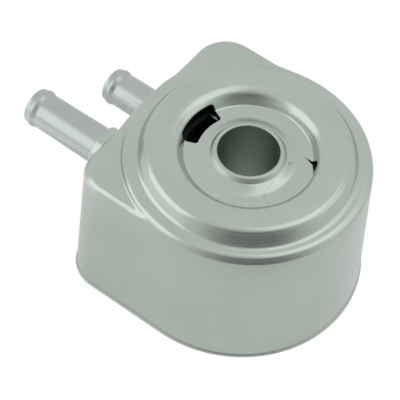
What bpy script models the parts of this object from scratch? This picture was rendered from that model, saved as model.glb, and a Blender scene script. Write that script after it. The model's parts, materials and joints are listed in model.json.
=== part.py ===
# Plate type engine oil cooler that clamps between the block and the spin-on filter.
#
# A deep drawn D-shaped can stands on a base plate. Its crown carries the ring on
# which the filter seals, a shallow recess with two oil ports, and the open end of
# the centre sleeve. Two beaded coolant stubs leave the flat side. Inside, flat oil
# cells are stacked round the sleeve, each one a dish, a finned insert and a lid.
#
# Every solid is modelled round the bore axis and hangs on one empty, which puts
# the middle of the whole cooler's footprint on the world origin.

import bpy
import bmesh
from math import acos, asin, atan2, ceil, cos, pi, radians, sin, sqrt, tan
from mathutils import Matrix, Vector

MM = 0.001

# Fits
FIT_GAP = 0.3 * MM

# Can, measured at the foot of its wall
BODY_RADIUS = 48.4 * MM
FLAT_DISTANCE = 48.8 * MM
CORNER_RADIUS = 14.6 * MM
WALL_DRAFT = 0.039
CAN_SHEET = 1.5 * MM
DECK_HEIGHT = 56.6 * MM
EDGE_RADIUS = 2.8 * MM

# Crown: raised round shoulder, filter seat ring and recess
SHOULDER_RISE = 4.0 * MM
SHOULDER_WIDTH = 1.3 * MM
SEAT_RISE = 5.6 * MM
SEAT_EDGE_RADIUS = 3.5 * MM
RISER_FOOT_RADIUS = 2.35 * MM
RISER_SLOPE = radians(60)
RECESS_RADIUS = 27.7 * MM
RECESS_RUN = 3.8 * MM
RECESS_DEPTH = 5.1 * MM
RECESS_BLEND = 2.8 * MM

# Centre sleeve
BORE_RADIUS = 11.5 * MM
SLEEVE_WALL = 1.0 * MM
LIP_WIDTH = 1.6 * MM
LIP_RISE = 3.1 * MM
LIP_EDGE = 0.5 * MM
SLEEVE_FOOT_SETBACK = 0.4 * MM

# Oil ports
PORT_INNER_RADIUS = 19.2 * MM
PORT_WIDTH = 6.1 * MM
PORT_HALF_ANGLE = radians(22.5)
PORT_CORNER = 1.2 * MM
BLIND_PORT_LIP_ROOM = 0.3 * MM
BLIND_PORT_REACH = 25.2 * MM
BLIND_PORT_SIDE = 12.7 * MM
BLIND_PORT_CORNER = 3.0 * MM
BLIND_PORT_CUT_AZIMUTH = radians(36)

# Coolant stubs
STUB_RADIUS = 7.0 * MM
STUB_ROOT_RADIUS = 7.3 * MM
STUB_WALL = 1.2 * MM
STUB_LENGTH = 34.2 * MM
STUB_INSERTION = 4.0 * MM
BEAD_HEIGHT = 0.65 * MM
BEAD_HALF_LENGTH = 2.5 * MM
BEAD_SETBACK = 3.1 * MM
STUB_END_ROUND = 0.5 * MM
UPPER_STUB_FROM_SIDE = 26.6 * MM
UPPER_STUB_HEIGHT = 46.2 * MM
LOWER_STUB_FROM_SIDE = 23.1 * MM
LOWER_STUB_HEIGHT = 15.0 * MM
NECK_LENGTH = 3.6 * MM
NECK_SHEET = 1.3 * MM
NECK_FLARE = 1.1 * MM
NECK_END_ROUND = 0.6 * MM

# Base plate and its seal
FLANGE_THICKNESS = 1.4 * MM
FLANGE_PROUD = 0.4 * MM
FLANGE_CHAMFER = 0.3 * MM
SPIGOT_HEIGHT = 3.6 * MM
GROOVE_RADIUS = 33.0 * MM
GROOVE_WIDTH = 4.6 * MM
GROOVE_DEPTH = 2.8 * MM
SEAL_SETBACK = 0.1 * MM

# Core
CELL_COUNT = 6
CELL_HEIGHT = 4.6 * MM
CELL_ROOM = 3.4 * MM
CORE_SHEET = 0.8 * MM
COVER_ROOM = 1.1 * MM
FIN_SHEET = 0.4 * MM
FIN_STRIP_WIDTH = 13.0 * MM
FIN_SIDE_ROOM = 1.2 * MM
FIN_WAVES = 15
COVER_VENT_WIDTH = 3.0 * MM

# Facets
ROUND_STEPS = 28
SIDE_STEPS = 6
CORNER_STEPS = 5
FLAT_STEPS = 6
TUBE_FACETS = 36
STUB_FACETS = 26
BEAD_STEPS = 8
CORE_FACETS = 22
PORT_CORNER_STEPS = 2
PORT_SIDE_STEPS = 4
OUTER_TOLERANCE = 0.12 * MM
INNER_TOLERANCE = 0.3 * MM
SMALLEST_BEND = 0.1 * MM
MERGE_DISTANCE = 0.01 * MM
SEARCH_STEPS = 30

# Sizes that follow from the ones above
SHOULDER_HEIGHT = DECK_HEIGHT + SHOULDER_RISE
SEAT_HEIGHT = SHOULDER_HEIGHT + SEAT_RISE
FLOOR_HEIGHT = SEAT_HEIGHT - RECESS_DEPTH
SHOULDER_RADIUS = BODY_RADIUS - WALL_DRAFT * (SHOULDER_HEIGHT - EDGE_RADIUS)
DECK_INSET = WALL_DRAFT * (DECK_HEIGHT - EDGE_RADIUS) + EDGE_RADIUS
RISER_BENDS = SEAT_EDGE_RADIUS + RISER_FOOT_RADIUS
RISER_LINE = (SEAT_RISE - RISER_BENDS * (1 - cos(RISER_SLOPE))) / sin(RISER_SLOPE)
RISER_WIDTH = RISER_BENDS * sin(RISER_SLOPE) + RISER_LINE * cos(RISER_SLOPE)
SEAT_OUTER_RADIUS = SHOULDER_RADIUS - EDGE_RADIUS - SHOULDER_WIDTH - RISER_WIDTH
COVER_RADIUS = SEAT_OUTER_RADIUS + SEAT_EDGE_RADIUS - CAN_SHEET - COVER_ROOM
CELL_RADIUS = BODY_RADIUS - WALL_DRAFT * DECK_HEIGHT - CAN_SHEET - CELL_ROOM
UPPER_STUB_SIDE = UPPER_STUB_FROM_SIDE - BODY_RADIUS
LOWER_STUB_SIDE = BODY_RADIUS - LOWER_STUB_FROM_SIDE
SLEEVE_RADIUS = BORE_RADIUS + SLEEVE_WALL
HUB_RADIUS = SLEEVE_RADIUS + FIT_GAP
LIP_RADIUS = SLEEVE_RADIUS + LIP_WIDTH
PORT_OUTER_RADIUS = PORT_INNER_RADIUS + PORT_WIDTH
BLIND_PORT_INSET = LIP_RADIUS + BLIND_PORT_LIP_ROOM
CAN_FOOT_HEIGHT = FLANGE_THICKNESS + FIT_GAP
BASE_TOP = FLANGE_THICKNESS + SPIGOT_HEIGHT
COVER_TOP = FLOOR_HEIGHT - CAN_SHEET - FIT_GAP
CORE_BOTTOM = BASE_TOP + FIT_GAP
CELL_PITCH = (COVER_TOP - CORE_SHEET - CORE_BOTTOM) / CELL_COUNT
STUB_BORE = STUB_RADIUS - STUB_WALL
NECK_BORE = STUB_ROOT_RADIUS + FIT_GAP
STUB_TIP = -(FLAT_DISTANCE + STUB_LENGTH)
BORE_AXIS_X = -(STUB_TIP + BODY_RADIUS + FLANGE_PROUD) / 2


# Small helpers

def arc(centre, radius, start, end, steps):
    """Points on an arc in the plane of a profile, angles in radians."""
    return [(centre[0] + radius * cos(start + (end - start) * i / steps),
             centre[1] + radius * sin(start + (end - start) * i / steps))
            for i in range(steps + 1)]


def bend_steps(radius, span, tolerance):
    """How many chords keep an arc within a tolerance."""
    return max(1, ceil(span / (2 * acos(max(1 - tolerance / radius, 0.0)))))


def bend(centre, radius, start, end, tolerance):
    return arc(centre, radius, start, end, bend_steps(radius, abs(end - start), tolerance))


def search(holds):
    """The last angle of a quarter turn for which a condition still holds."""
    low, high = 0.0, pi / 2
    for _ in range(SEARCH_STEPS):
        middle = (low + high) / 2
        if holds(middle):
            low = middle
        else:
            high = middle
    return low


def metal(name, colour, roughness, metallic=1.0):
    material = bpy.data.materials.new(name)
    material.use_nodes = True
    shader = material.node_tree.nodes["Principled BSDF"]
    shader.inputs["Base Color"].default_value = (*colour, 1.0)
    shader.inputs["Roughness"].default_value = roughness
    shader.inputs["Metallic"].default_value = metallic
    return material


def add_object(name, bm, material, axis, smooth_angle=35):
    """Turns a bmesh into an object that hangs on the bore axis."""
    bmesh.ops.remove_doubles(bm, verts=bm.verts, dist=MERGE_DISTANCE)
    bmesh.ops.recalc_face_normals(bm, faces=bm.faces)
    mesh = bpy.data.meshes.new(name)
    bm.to_mesh(mesh)
    bm.free()
    mesh.materials.append(material)
    mesh.shade_smooth()
    mesh.set_sharp_from_angle(angle=radians(smooth_angle))
    item = bpy.data.objects.new(name, mesh)
    item.parent = axis
    bpy.context.collection.objects.link(item)
    return item


def add_tool(name, bm, material, axis):
    """An object that only cuts or joins another and is never built itself."""
    item = add_object(name, bm, material, axis)
    item.hide_render = True
    item.display_type = "WIRE"
    return item


def combine(target, tool, operation):
    modifier = target.modifiers.new(tool.name, "BOOLEAN")
    modifier.operation = operation
    modifier.solver = "EXACT"
    modifier.object = tool


def thicken(item, thickness):
    """Gives a stamped sheet its thickness, towards the inner side of its faces."""
    modifier = item.modifiers.new("sheet", "SOLIDIFY")
    modifier.thickness = thickness
    modifier.offset = -1.0
    modifier.use_even_offset = True


def skin_grid(bm, columns):
    """Joins equally long closed profiles, one for each direction round the axis."""
    rows = len(columns[0])
    rings = [[bm.verts.new(point) for point in column] for column in columns]
    for i, ring in enumerate(rings):
        following = rings[(i + 1) % len(rings)]
        for j in range(rows):
            k = (j + 1) % rows
            bm.faces.new((ring[j], ring[k], following[k], following[j]))


def turned(profile, facets, along_x=False):
    """A closed profile of (radius, distance) turned round Z, or round X."""
    bm = bmesh.new()
    columns = []
    for i in range(facets):
        angle = 2 * pi * i / facets
        if along_x:
            columns.append([(d, r * cos(angle), r * sin(angle)) for r, d in profile])
        else:
            columns.append([(r * cos(angle), r * sin(angle), d) for r, d in profile])
    skin_grid(bm, columns)
    return bm


def circle(radius, facets):
    return [(radius * cos(2 * pi * i / facets), radius * sin(2 * pi * i / facets))
            for i in range(facets)]


def flat_sheet(outlines, height):
    """One flat face region at a height, bounded by the first outline, holed by the rest."""
    bm = bmesh.new()
    loops = []
    for outline in outlines:
        verts = [bm.verts.new((x, y, height)) for x, y in outline]
        loops.append([bm.edges.new((verts[i - 1], verts[i])) for i in range(len(verts))])
    edges = [edge for loop in loops for edge in loop]
    bmesh.ops.triangle_fill(bm, edges=edges, use_beauty=True, normal=(0, 0, 1))
    for face in bm.faces:
        if face.normal.z < 0:
            face.normal_flip()
    return bm, loops


def raise_edges(bm, edges, lift):
    """Turns up (or down) the edge of a sheet into a wall."""
    lift_new(bm, bmesh.ops.extrude_edge_only(bm, edges=edges)["geom"], lift)


def prism(outline, bottom, top):
    bm, _ = flat_sheet([outline], bottom)
    lift_new(bm, bmesh.ops.extrude_face_region(bm, geom=bm.faces[:])["geom"], top - bottom)
    return bm


def lift_new(bm, made, lift):
    """Raises the points among the elements that an extrusion has made."""
    points = [item for item in made if isinstance(item, bmesh.types.BMVert)]
    bmesh.ops.translate(bm, vec=(0, 0, lift), verts=points)


# Plan shapes

def reach(azimuth, inset):
    """Distance from the bore axis to the D outline, drawn in by an inset."""
    c, s = cos(azimuth), sin(azimuth)
    radius, flat = BODY_RADIUS - inset, FLAT_DISTANCE - inset
    if c >= 0:
        return radius
    straight = min(flat / -c, radius / max(abs(s), 1e-9))
    centre = Vector((CORNER_RADIUS - FLAT_DISTANCE, BODY_RADIUS - CORNER_RADIUS))
    if straight * c < centre.x and straight * abs(s) > centre.y:
        along = c * centre.x + abs(s) * centre.y
        corner = CORNER_RADIUS - inset
        return along + sqrt(along * along - centre.length_squared + corner * corner)
    return straight


def can_azimuths():
    """Directions of the can's sections: even on the round end, closer at the corners."""
    corner_x, corner_y = CORNER_RADIUS - FLAT_DISTANCE, BODY_RADIUS - CORNER_RADIUS
    side_end = atan2(BODY_RADIUS, corner_x)
    flat_start = atan2(corner_y, -FLAT_DISTANCE)
    half = [pi / 2 * i / (ROUND_STEPS // 2) for i in range(ROUND_STEPS // 2)]
    half += [pi / 2 + (side_end - pi / 2) * i / SIDE_STEPS for i in range(SIDE_STEPS)]
    for x, y in arc((corner_x, corner_y), CORNER_RADIUS, pi / 2, pi, CORNER_STEPS)[:-1]:
        half.append(atan2(y, x))
    half += [flat_start + (pi - flat_start) * i / (FLAT_STEPS // 2) for i in range(FLAT_STEPS // 2)]
    return half + [pi] + [-a for a in reversed(half[1:])]


def port_outline(centre_azimuth):
    """A kidney round the bore axis: a rounded rectangle bent to the port's mean radius."""
    mean = (PORT_INNER_RADIUS + PORT_OUTER_RADIUS) / 2
    half_length, half_width = PORT_HALF_ANGLE * mean, PORT_WIDTH / 2
    points = []
    for k, (sx, sy) in enumerate(((1, 1), (-1, 1), (-1, -1), (1, -1))):
        centre = (sx * (half_length - PORT_CORNER), sy * (half_width - PORT_CORNER))
        points += arc(centre, PORT_CORNER, k * pi / 2, (k + 1) * pi / 2, PORT_CORNER_STEPS)
    bent = []
    for i, (along, across) in enumerate(points):
        bent.append((along, across))
        step = (points[(i + 1) % len(points)][0] - along) / PORT_SIDE_STEPS
        if abs(step) * PORT_SIDE_STEPS > half_length:
            bent += [(along + step * j, across) for j in range(1, PORT_SIDE_STEPS)]
    outline = []
    for along, across in bent:
        angle = centre_azimuth - along / mean
        outline.append(((mean + across) * cos(angle), (mean + across) * sin(angle)))
    return outline


def blind_port_outline():
    """The wide port, straight along the sleeve's lip, round along the recess, cut off radially."""
    inset, side, corner = BLIND_PORT_INSET, BLIND_PORT_SIDE, BLIND_PORT_CORNER
    rounded = bend((inset + corner, side - corner), corner, pi, pi / 2, OUTER_TOLERANCE)
    outer_start, outer_end = asin(side / BLIND_PORT_REACH), -BLIND_PORT_CUT_AZIMUTH
    outer = bend((0, 0), BLIND_PORT_REACH, outer_start, outer_end, OUTER_TOLERANCE)
    return rounded + outer + [(inset, -inset * tan(BLIND_PORT_CUT_AZIMUTH))]


# Can: crown, wall and necks

def meeting(azimuth, depth):
    """Where the round shoulder's edge runs into the D deck or its edge, as two angles."""
    edge_bend = max(EDGE_RADIUS - depth, SMALLEST_BEND)

    def deck_angle(radius):
        """Angle on the deck's edge below a radius, or None beyond the wall."""
        if radius <= reach(azimuth, DECK_INSET):
            return 0.0
        if radius >= reach(azimuth, DECK_INSET - edge_bend):
            return None
        return search(lambda angle: reach(azimuth, DECK_INSET - edge_bend * sin(angle)) < radius)

    def drop(angle):
        """How far the shoulder's edge stands above the deck there, and the deck's angle."""
        below = deck_angle(SHOULDER_RADIUS - EDGE_RADIUS + edge_bend * sin(angle))
        if below is None:
            return SHOULDER_RISE, pi / 2
        return SHOULDER_RISE + edge_bend * (cos(angle) - cos(below)), below

    step, below = drop(pi / 2)
    if step > 0:
        return pi / 2, pi / 2 if cos(azimuth) >= 0 else below
    end = search(lambda angle: drop(angle)[0] > 0)
    return end, drop(end)[1]


def crown_profile(azimuth, depth, tolerance):
    """Radius and height of the can's sheet along one direction, at a depth in the sheet."""
    slope = atan2(RECESS_DEPTH, RECESS_RUN)
    tangent = RECESS_BLEND * tan(slope / 2)
    rim_bend, seat_bend, edge_bend = (max(radius - depth, SMALLEST_BEND) for radius in
                                      (RECESS_BLEND, SEAT_EDGE_RADIUS, EDGE_RADIUS))

    points = [(HUB_RADIUS, FLOOR_HEIGHT - depth)]
    foot = (RECESS_RADIUS - RECESS_RUN - tangent, FLOOR_HEIGHT + RECESS_BLEND)
    points += bend(foot, RECESS_BLEND + depth, -pi / 2, slope - pi / 2, tolerance)
    rim = (RECESS_RADIUS + tangent, SEAT_HEIGHT - RECESS_BLEND)
    points += bend(rim, rim_bend, pi / 2 + slope, pi / 2, tolerance)
    seat_edge = (SEAT_OUTER_RADIUS, SEAT_HEIGHT - SEAT_EDGE_RADIUS)
    points += bend(seat_edge, seat_bend, pi / 2, pi / 2 - RISER_SLOPE, tolerance)
    riser = (SEAT_OUTER_RADIUS + RISER_WIDTH, SHOULDER_HEIGHT + RISER_FOOT_RADIUS)
    points += bend(riser, RISER_FOOT_RADIUS + depth, 3 * pi / 2 - RISER_SLOPE, 3 * pi / 2, tolerance)

    shoulder_end, deck_start = meeting(azimuth, depth)
    steps = bend_steps(edge_bend, pi / 2, tolerance)
    edge = (SHOULDER_RADIUS - EDGE_RADIUS, SHOULDER_HEIGHT - EDGE_RADIUS)
    points += arc(edge, edge_bend, pi / 2, pi / 2 - shoulder_end, steps)
    for i in range(steps + 1):
        angle = deck_start + (pi / 2 - deck_start) * i / steps
        height = DECK_HEIGHT - EDGE_RADIUS + edge_bend * cos(angle)
        points.append((reach(azimuth, DECK_INSET - edge_bend * sin(angle)), height))
    points.append((reach(azimuth, WALL_DRAFT * CAN_FOOT_HEIGHT + depth), CAN_FOOT_HEIGHT))
    return points


def flat_side(height):
    """X of the can's flat side at a height."""
    return -(FLAT_DISTANCE - WALL_DRAFT * height)


def neck_bm(height):
    """The plunged neck of a stub hole, still without its hole, along X."""
    wall = flat_side(height)
    end = wall - NECK_LENGTH
    radius = NECK_BORE + NECK_SHEET
    points = [(0.0, wall + CAN_SHEET / 2), (radius + NECK_FLARE, wall + CAN_SHEET / 2)]
    points += bend((radius + NECK_FLARE, wall - NECK_FLARE), NECK_FLARE, pi / 2, pi, OUTER_TOLERANCE)
    rim = (radius - NECK_END_ROUND, end + NECK_END_ROUND)
    points += bend(rim, NECK_END_ROUND, 0, -pi / 2, OUTER_TOLERANCE)
    points.append((0.0, end))
    return turned_solid(points, STUB_FACETS)


def turned_solid(points, facets):
    """A profile that starts and ends on the X axis, turned into a solid."""
    bm = bmesh.new()
    first = bm.verts.new((points[0][1], 0, 0))
    last = bm.verts.new((points[-1][1], 0, 0))
    rings = []
    for i in range(facets):
        angle = 2 * pi * i / facets
        rings.append([bm.verts.new((d, r * cos(angle), r * sin(angle))) for r, d in points[1:-1]])
    for i, ring in enumerate(rings):
        following = rings[(i + 1) % facets]
        bm.faces.new((first, ring[0], following[0]))
        bm.faces.new((last, following[-1], ring[-1]))
        for j in range(len(ring) - 1):
            bm.faces.new((ring[j], ring[j + 1], following[j + 1], following[j]))
    return bm


def moved(bm, offset):
    bmesh.ops.transform(bm, matrix=Matrix.Translation(offset), verts=bm.verts)
    return bm


def build_can(material, axis):
    bm = bmesh.new()
    columns = []
    for azimuth in can_azimuths():
        section = crown_profile(azimuth, 0.0, OUTER_TOLERANCE)
        section += reversed(crown_profile(azimuth, CAN_SHEET, INNER_TOLERANCE))
        columns.append([(r * cos(azimuth), r * sin(azimuth), z) for r, z in section])
    skin_grid(bm, columns)
    can = add_object("housing", bm, material, axis)

    for name, side, height in stub_places():
        neck = moved(neck_bm(height), (0, side, height))
        combine(can, add_tool(name + "_neck", neck, material, axis), "UNION")
        wall = flat_side(height)
        ends = (wall - 2 * NECK_LENGTH, wall + CAN_SHEET + STUB_INSERTION)
        drill = turned_solid([(0.0, ends[1]), (NECK_BORE, ends[1]), (NECK_BORE, ends[0]), (0.0, ends[0])],
                             STUB_FACETS)
        combine(can, add_tool(name + "_drill", moved(drill, (0, side, height)), material, axis), "DIFFERENCE")

    for name, outline in (("outlet_punch", port_outline(pi)), ("blind_punch", blind_port_outline())):
        punch = prism(outline, FLOOR_HEIGHT - 2 * CAN_SHEET, SEAT_HEIGHT)
        combine(can, add_tool(name, punch, material, axis), "DIFFERENCE")
    return can


# Turned pieces

def build_sleeve(material, axis):
    """Centre sleeve, its upper end swaged out over the recess floor."""
    top = FLOOR_HEIGHT + LIP_RISE
    seat = FLOOR_HEIGHT + FIT_GAP
    profile = [(BORE_RADIUS, SLEEVE_FOOT_SETBACK)]
    profile += bend((BORE_RADIUS + SLEEVE_WALL, top - SLEEVE_WALL), SLEEVE_WALL, pi, pi / 3, OUTER_TOLERANCE)
    profile += [(LIP_RADIUS, seat + LIP_EDGE), (LIP_RADIUS, seat)]
    profile += [(SLEEVE_RADIUS, seat), (SLEEVE_RADIUS, SLEEVE_FOOT_SETBACK)]
    return add_object("center_sleeve", turned(profile, TUBE_FACETS), material, axis)


def stub_places():
    return (("upper_stub", UPPER_STUB_SIDE, UPPER_STUB_HEIGHT),
            ("lower_stub", LOWER_STUB_SIDE, LOWER_STUB_HEIGHT))


def build_stub(name, side, height, material, axis):
    """Coolant stub: slightly tapered tube with a hose bead near its rounded end."""
    root = flat_side(height) + CAN_SHEET + STUB_INSERTION
    neck_end = flat_side(height) - NECK_LENGTH
    bead = STUB_TIP + BEAD_SETBACK
    profile = [(STUB_ROOT_RADIUS, root), (STUB_ROOT_RADIUS, neck_end)]
    for i in range(BEAD_STEPS + 1):
        t = 1 - 2 * i / BEAD_STEPS
        swell = BEAD_HEIGHT * (1 + cos(pi * t)) / 2
        profile.append((STUB_RADIUS + swell, bead + t * BEAD_HALF_LENGTH))
    profile += bend((STUB_RADIUS - STUB_END_ROUND, STUB_TIP + STUB_END_ROUND), STUB_END_ROUND, 0, -pi / 2,
                    OUTER_TOLERANCE)
    profile += [(STUB_BORE, STUB_TIP), (STUB_BORE, root)]
    tube = moved(turned(profile, STUB_FACETS, along_x=True), (0, side, height))
    return add_object(name, tube, material, axis)


def build_seal(material, axis):
    """Rubber ring pressed home in the base groove."""
    half = GROOVE_WIDTH / 2 - FIT_GAP
    top, bottom = GROOVE_DEPTH - FIT_GAP, SEAL_SETBACK
    cut = (top - bottom) / 3
    profile = [(GROOVE_RADIUS + half, bottom + cut), (GROOVE_RADIUS + half, top - cut),
               (GROOVE_RADIUS + half - cut, top), (GROOVE_RADIUS - half + cut, top),
               (GROOVE_RADIUS - half, top - cut), (GROOVE_RADIUS - half, bottom + cut),
               (GROOVE_RADIUS - half + cut, bottom), (GROOVE_RADIUS + half - cut, bottom)]
    return add_object("base_seal", turned(profile, TUBE_FACETS), material, axis)


# Base plate

def build_base(material, axis):
    """Flange that the can stands on, with a spigot inside the can and a seal groove below."""
    bm = bmesh.new()
    columns = []
    for azimuth in can_azimuths():
        rim = reach(azimuth, -FLANGE_PROUD)
        rim_cut = reach(azimuth, FLANGE_CHAMFER - FLANGE_PROUD)
        spigot_foot = reach(azimuth, CAN_SHEET + FIT_GAP + WALL_DRAFT * FLANGE_THICKNESS)
        spigot_top = reach(azimuth, CAN_SHEET + FIT_GAP + WALL_DRAFT * BASE_TOP)
        groove_out, groove_in = GROOVE_RADIUS + GROOVE_WIDTH / 2, GROOVE_RADIUS - GROOVE_WIDTH / 2
        section = [(HUB_RADIUS, 0.0), (groove_in, 0.0), (groove_in, GROOVE_DEPTH),
                   (groove_out, GROOVE_DEPTH), (groove_out, 0.0), (rim_cut, 0.0), (rim, FLANGE_CHAMFER),
                   (rim, FLANGE_THICKNESS - FLANGE_CHAMFER), (rim_cut, FLANGE_THICKNESS),
                   (spigot_foot, FLANGE_THICKNESS), (spigot_top, BASE_TOP), (HUB_RADIUS, BASE_TOP)]
        columns.append([(r * cos(azimuth), r * sin(azimuth), z) for r, z in section])
    skin_grid(bm, columns)
    base = add_object("base_plate", bm, material, axis)
    punch = prism(port_outline(0.0), -BASE_TOP, 2 * BASE_TOP)
    combine(base, add_tool("inlet_punch", punch, material, axis), "DIFFERENCE")
    return base


# Core

def build_cover(material, axis):
    """Core cover under the recess floor: open below the outlet port, blind below the other."""
    side = BLIND_PORT_SIDE
    end = sqrt(BLIND_PORT_REACH ** 2 - side ** 2)
    vent = [(BLIND_PORT_INSET + BLIND_PORT_CORNER, side), (end, side - COVER_VENT_WIDTH),
            (end, side + COVER_VENT_WIDTH)]
    bm, _ = flat_sheet([circle(COVER_RADIUS, CORE_FACETS), circle(HUB_RADIUS, CORE_FACETS),
                        port_outline(pi), vent], COVER_TOP)
    cover = add_object("core_cover", bm, material, axis)
    thicken(cover, CORE_SHEET)
    return cover


def build_cell(number, material, fin_material, axis):
    """One oil cell: a dish with raised rims, a wavy insert and a lid with port necks."""
    bottom = CORE_BOTTOM + (number - 1) * CELL_PITCH
    ports = [port_outline(0.0), port_outline(pi)]
    plan = [circle(CELL_RADIUS, CORE_FACETS), circle(HUB_RADIUS, CORE_FACETS)] + ports

    dish, loops = flat_sheet(plan, bottom)
    for face in dish.faces:
        face.normal_flip()
    raise_edges(dish, loops[0] + loops[1], CELL_HEIGHT - CORE_SHEET - FIT_GAP)
    dish_item = add_object(f"cell_{number}_dish", dish, material, axis)
    thicken(dish_item, CORE_SHEET)

    lid, loops = flat_sheet(plan, bottom + CELL_HEIGHT)
    raise_edges(lid, loops[2] + loops[3], CELL_PITCH - CELL_HEIGHT - FIT_GAP)
    lid_item = add_object(f"cell_{number}_lid", lid, material, axis)
    thicken(lid_item, CORE_SHEET)

    outer = CELL_RADIUS - CORE_SHEET - FIN_SIDE_ROOM
    inner = outer - FIN_STRIP_WIDTH
    low = bottom + CORE_SHEET + FIT_GAP
    high = bottom + CELL_HEIGHT - CORE_SHEET - FIT_GAP
    bm = bmesh.new()
    columns = []
    for i in range(2 * FIN_WAVES):
        angle = pi * i / FIN_WAVES
        top = high if i % 2 else low + FIN_SHEET
        columns.append([(r * cos(angle), r * sin(angle), z) for r, z in
                        ((inner, top - FIN_SHEET), (outer, top - FIN_SHEET), (outer, top), (inner, top))])
    skin_grid(bm, columns)
    add_object(f"cell_{number}_insert", bm, fin_material, axis, smooth_angle=10)


def main():
    for item in list(bpy.data.objects):
        bpy.data.objects.remove(item, do_unlink=True)
    axis = bpy.data.objects.new("bore_axis", None)
    axis.location = (BORE_AXIS_X, 0, 0)
    bpy.context.collection.objects.link(axis)

    can_metal = metal("can_aluminium", (0.62, 0.66, 0.62), 0.32)
    base_metal = metal("base_aluminium", (0.56, 0.60, 0.57), 0.38)
    tube_metal = metal("tube_aluminium", (0.66, 0.69, 0.66), 0.28)
    core_metal = metal("core_aluminium", (0.60, 0.62, 0.60), 0.42)
    fin_metal = metal("fin_aluminium", (0.55, 0.57, 0.56), 0.5)
    rubber = metal("seal_rubber", (0.02, 0.02, 0.022), 0.7, metallic=0.0)

    build_can(can_metal, axis)
    build_base(base_metal, axis)
    build_seal(rubber, axis)
    build_sleeve(tube_metal, axis)
    for name, side, height in stub_places():
        build_stub(name, side, height, tube_metal, axis)
    build_cover(core_metal, axis)
    for number in range(1, CELL_COUNT + 1):
        build_cell(number, core_metal, fin_metal, axis)


main()
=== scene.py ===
# Looks of a plate type engine oil cooler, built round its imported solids.
#
# Sheet metal pieces are worked out point by point, in millimetres round the bore axis.
# What repeats or follows a rule, such as stubs, rings and inserts, comes from Geometry
# Nodes. Everything ends up in metres in the frame's own coordinates.

import json
from math import atan2, cos, pi, radians, sin, sqrt, tan

import bmesh
import bpy
import numpy as np
from mathutils import Matrix, Vector
from mathutils.geometry import delaunay_2d_cdt

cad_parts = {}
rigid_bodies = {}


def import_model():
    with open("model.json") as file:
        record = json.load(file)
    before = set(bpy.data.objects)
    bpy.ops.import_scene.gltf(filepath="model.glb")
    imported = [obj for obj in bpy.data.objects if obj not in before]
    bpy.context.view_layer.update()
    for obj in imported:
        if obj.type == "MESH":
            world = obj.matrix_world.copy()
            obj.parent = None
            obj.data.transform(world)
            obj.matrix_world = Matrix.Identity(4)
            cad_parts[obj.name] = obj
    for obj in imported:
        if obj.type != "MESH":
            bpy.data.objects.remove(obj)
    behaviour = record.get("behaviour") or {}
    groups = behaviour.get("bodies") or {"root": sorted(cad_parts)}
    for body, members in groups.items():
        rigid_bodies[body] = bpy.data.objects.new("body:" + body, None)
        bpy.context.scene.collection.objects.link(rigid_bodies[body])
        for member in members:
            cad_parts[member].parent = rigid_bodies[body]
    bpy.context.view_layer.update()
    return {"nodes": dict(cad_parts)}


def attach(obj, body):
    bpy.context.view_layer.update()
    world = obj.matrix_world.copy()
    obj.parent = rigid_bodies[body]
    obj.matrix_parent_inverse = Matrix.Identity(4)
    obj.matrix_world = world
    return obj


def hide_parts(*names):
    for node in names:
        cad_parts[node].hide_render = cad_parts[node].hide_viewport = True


for item in list(bpy.data.objects):
    bpy.data.objects.remove(item, do_unlink=True)
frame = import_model()

MM = 0.001
BORE_AXIS = 17.1
CLEARANCE = 0.3

# Can
BODY_RADIUS = 48.4
FLAT_DISTANCE = 48.8
CORNER_RADIUS = 14.6
WALL_DRAFT = 0.039
SIDE_DRAFT = 0.018
CAN_SHEET = 1.5
CAN_FOOT = 1.45
EDGE_RADIUS = 2.8
SHOULDER_HEIGHT = 60.6
SEAT_HEIGHT = 66.2
FLOOR_HEIGHT = 61.1
SEAT_OUTER_RADIUS = 35.435
SEAT_EDGE_RADIUS = 3.5
RISER_FOOT_RADIUS = 2.35
RISER_SLOPE = radians(60)
RISER_WIDTH = 6.611

# Deck, and the step up to the round shoulder
DECK_HEIGHT = 57.3
DECK_RAMP = 4.5
DECK_CLIMB = 1.1
DECK_CLIMB_END = -30
STEP_BLEND = 1.2
STEP_BLEND_START = 5.0
STEP_EDGE_RADIUS = 1.4

# Recess, whose floor swells up to the hub
HUB_RADIUS = 12.8
HUB_SWELL = 1.6
HUB_SWELL_FOOT = 18.5
RECESS_FOOT_START = 22.9
RECESS_SLOPE = radians(60)
RECESS_FOOT_RADIUS = 1.3
RECESS_RIM_RADIUS = 5.6
RECESS_FOOT = (RECESS_FOOT_START, FLOOR_HEIGHT + RECESS_FOOT_RADIUS)
RECESS_ROUNDS = RECESS_FOOT_RADIUS + RECESS_RIM_RADIUS
RECESS_WALL = SEAT_HEIGHT - FLOOR_HEIGHT - RECESS_ROUNDS * (1 - cos(RECESS_SLOPE))
RECESS_RIM_END = RECESS_FOOT_START + RECESS_ROUNDS * sin(RECESS_SLOPE) + RECESS_WALL / tan(RECESS_SLOPE)
PIT_DISTANCE, PIT_AZIMUTH = 15.5, radians(23.5)
PIT_PLACE = (PIT_DISTANCE * cos(PIT_AZIMUTH), PIT_DISTANCE * sin(PIT_AZIMUTH))
PIT_DEPTH = 0.8
PIT_FLOOR, PIT_BRIM = 0.08, 0.42

# Ports
PORT_INNER_RADIUS = 19.2
PORT_OUTER_RADIUS = 25.3
PORT_HALF_ANGLE = radians(22.5)
PORT_CORNER = 1.2
BLIND_PORT_INSET = 14.4
BLIND_PORT_REACH = 25.2
BLIND_PORT_SIDE = 12.7
BLIND_PORT_CORNER = 3.0
BLIND_PORT_OUTER_CORNER = 0.8
BLIND_PORT_CUT = radians(36)
BLIND_PORT_CUT_TRIM = 0.7
BLIND_PORT_CUT_TURN = 0.03
BLIND_PORT_INNER_TRIM = 0.6
PUNCH_ROUND = 0.3
PUNCH_BREAK = 1.1
IRONED_START, IRONED_END = 3.0, 9.0

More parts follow.
